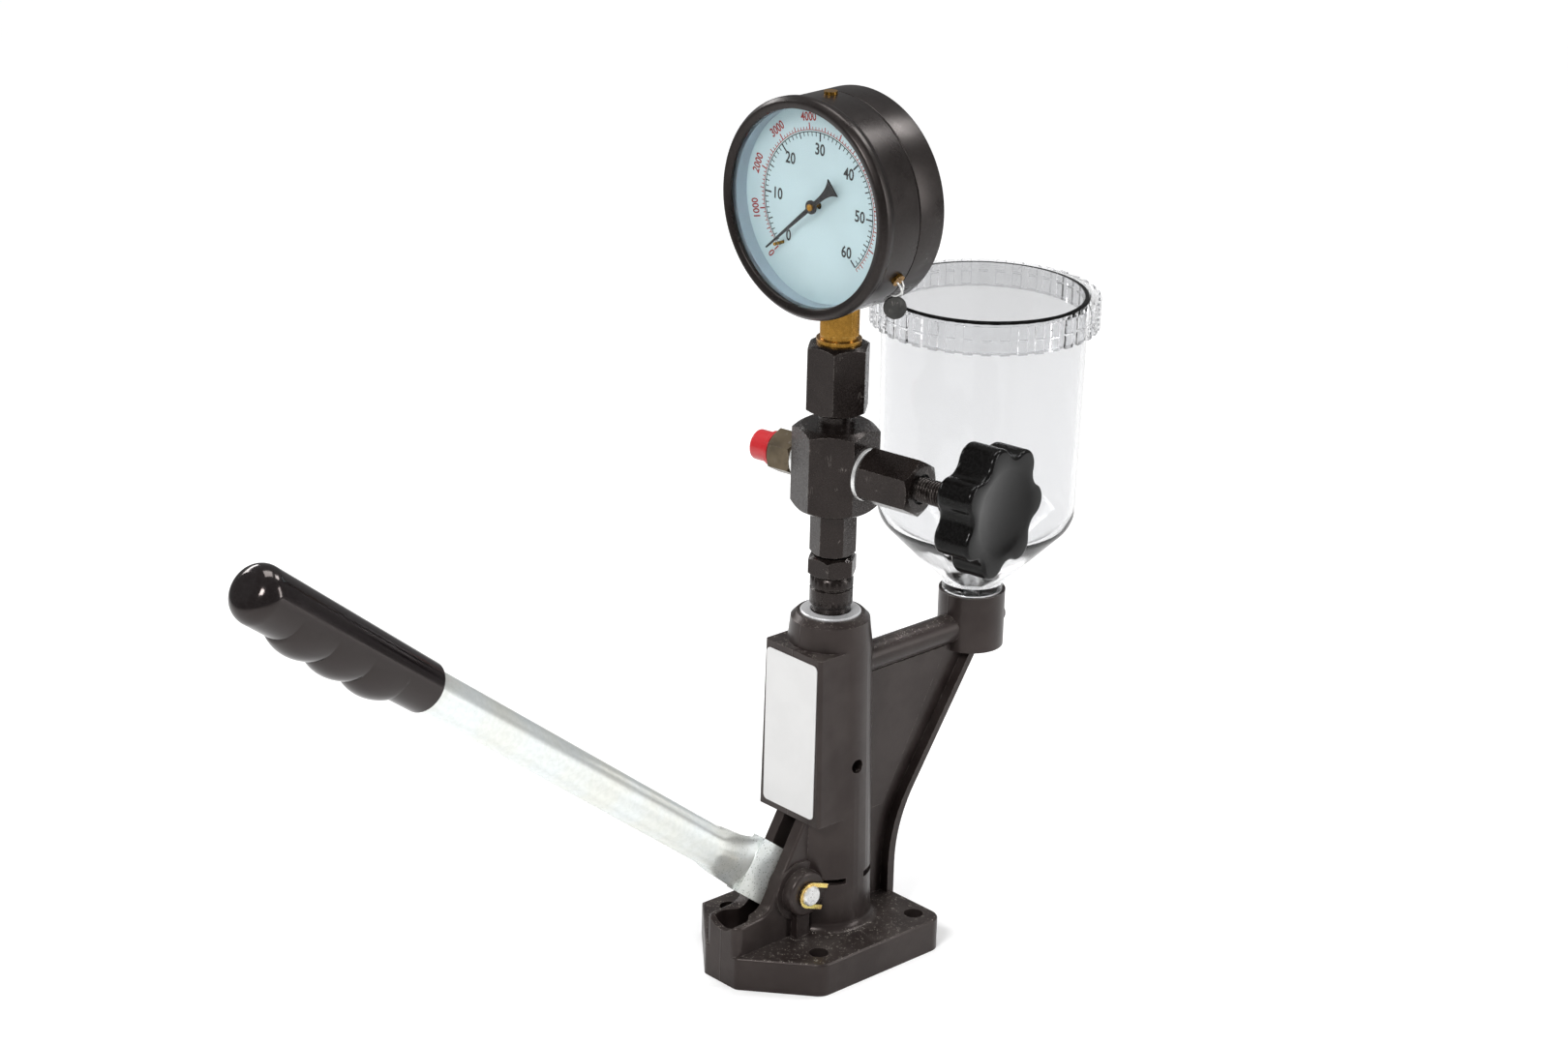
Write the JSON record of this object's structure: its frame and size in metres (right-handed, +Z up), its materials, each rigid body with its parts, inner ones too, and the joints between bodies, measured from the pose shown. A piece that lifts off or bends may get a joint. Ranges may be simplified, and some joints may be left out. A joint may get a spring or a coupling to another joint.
{
  "type": "diesel injector tester",
  "caption": "Hand-pumped injector tester: black cast stand, long lever with grip, cross block with lobed valve knob and capped outlet, round pressure gauge, clear fuel cup.",
  "frame": {"origin": "the column's axis on the underside of the base, which is the middle of its hole pattern", "axes": "+Z up along the column, -X towards the lever and the dial's reader, +X towards the fuel cup"},
  "size_m": [0.4875, 0.1536, 0.4274],
  "materials": {
    "cast_black": "satin black coated die casting",
    "label_white": "bare white sticker with a soft sheen",
    "black_steel": "oiled black oxide",
    "golden_steel": "dark golden passivated steel",
    "zinc_steel": "blue-white zinc plate, a little mottled",
    "bright_steel": "turned bright steel",
    "spring_steel": "drawn spring wire",
    "yellow_steel": "yellow passivated spring steel",
    "bright_aluminium": "turned aluminium",
    "brass": "turned brass",
    "case_black": "semi-gloss black paint",
    "dial_face": "matt pale paint",
    "pointer_black": "matt black paint",
    "clear_glass": "clear flat glass",
    "clear_plastic": "clear moulded plastic",
    "knob_black": "polished black moulding with a satin front",
    "grip_black": "glossy dipped plastic",
    "cap_red": "bright soft plastic",
    "seal_rubber": "black rubber",
    "seal_lead": "dull dark seal"
  },
  "bodies": {
    "frame": {"housing": "cast_black", "label_plate": "label_white", "pivot_pin": "bright_steel", "pin_clips": "yellow_steel", "pump_barrel": "bright_steel", "delivery_valve_seat": "bright_steel", "delivery_valve_holder": "black_steel", "clamp_ring": "bright_aluminium", "union_nut": "black_steel", "cross_block": "black_steel", "valve_washer": "bright_steel", "valve_body": "black_steel", "valve_packing": "seal_rubber", "outlet_washer": "bright_steel", "outlet_fitting": "golden_steel", "gauge_coupling": "black_steel", "coupling_nipple": "black_steel", "gauge_seal_washer": "bright_aluminium", "gauge_stem": "brass", "gauge_case": "case_black", "gauge_bezel": "case_black", "gauge_glass": "clear_glass", "dial_spacer": "case_black", "gauge_dial": "dial_face", "zero_stop": "brass", "movement_plates": "brass", "bourdon_tube": "brass", "case_screws": "brass", "seal_wire": "spring_steel", "seal_disc": "seal_lead", "duct_plug": "black_steel", "fuel_cup": "clear_plastic", "cup_o_ring": "seal_rubber", "filter_screen": "brass", "plunger_spring": "spring_steel", "delivery_spring": "spring_steel"},
    "lever": {"lever_tube": "zinc_steel", "lever_grip": "grip_black"},
    "tappet_group": {"tappet": "bright_steel", "plunger": "bright_steel", "spring_seat": "bright_steel"},
    "delivery_valve_group": {"delivery_valve": "bright_steel"},
    "pointer_group": {"gauge_pointer": "pointer_black", "pointer_pinion": "brass"},
    "sector_group": {"sector_gear": "brass"},
    "link_group": {"link_rod": "brass"},
    "needle_group": {"valve_needle": "bright_steel"},
    "knob_group": {"valve_knob": "knob_black", "valve_spindle": "black_steel"},
    "lid_group": {"cup_lid": "clear_plastic"},
    "cap_group": {"dust_cap": "cap_red"}
  },
  "joints": [
    {"name": "lever_swing", "type": "hinge", "parent": "frame", "child": "lever", "pos_m": [-0.026, 0, 0.04], "axis": [0, -1, 0], "range_deg": [0, 28], "stiffness_Nm_per_rad": 3, "springref_deg": -20.05},
    {"name": "tappet_lift", "type": "slide", "parent": "frame", "child": "tappet_group", "axis": [0, 0, 1], "range_m": [0, 0.0126], "deforming": ["plunger_spring"]},
    {"name": "delivery_valve_lift", "type": "slide", "parent": "frame", "child": "delivery_valve_group", "axis": [0, 0, 1], "range_m": [0, 0.0012], "stiffness_N_per_m": 500, "springref_m": -0.002, "deforming": ["delivery_spring"]},
    {"name": "pointer_turn", "type": "hinge", "parent": "frame", "child": "pointer_group", "pos_m": [0, 0, 0.3758], "axis": [0.9989, 0.0471, 0], "range_deg": [0, 270]},
    {"name": "sector_turn", "type": "hinge", "parent": "frame", "child": "sector_group", "pos_m": [0, 0, 0.34808], "axis": [0.9989, 0.0471, 0], "range_deg": [-27.02, 0]},
    {"name": "link_pull", "type": "slide", "parent": "frame", "child": "link_group", "axis": [-0.0446, 0.9466, 0.3192], "range_m": [0, 0.00374], "stiffness_N_per_m": 60, "springref_m": -0.003},
    {"name": "needle_travel", "type": "slide", "parent": "frame", "child": "needle_group", "axis": [0.1736, -0.9848, 0], "range_m": [0, 0.00225]},
    {"name": "valve_turn", "type": "hinge", "parent": "needle_group", "child": "knob_group", "pos_m": [0, 0, 0.2474], "axis": [0.1736, -0.9848, 0], "range_deg": [0, 540]},
    {"name": "lid_lift", "type": "slide", "parent": "frame", "child": "lid_group", "axis": [0, 0, 1], "range_m": [0, 0.03]},
    {"name": "cap_pull", "type": "slide", "parent": "frame", "child": "cap_group", "axis": [-0.1736, 0.9848, 0], "range_m": [0, 0.012]}
  ],
  "couplings": [
    {"joint": "tappet_lift", "follows": "lever_swing", "m_per_rad": 0.025742},
    {"joint": "pointer_turn", "follows": "link_pull", "rad_per_m": 1261.6},
    {"joint": "sector_turn", "follows": "link_pull", "rad_per_m": -126.16},
    {"joint": "valve_turn", "follows": "needle_travel", "rad_per_m": 4188.8}
  ]
}
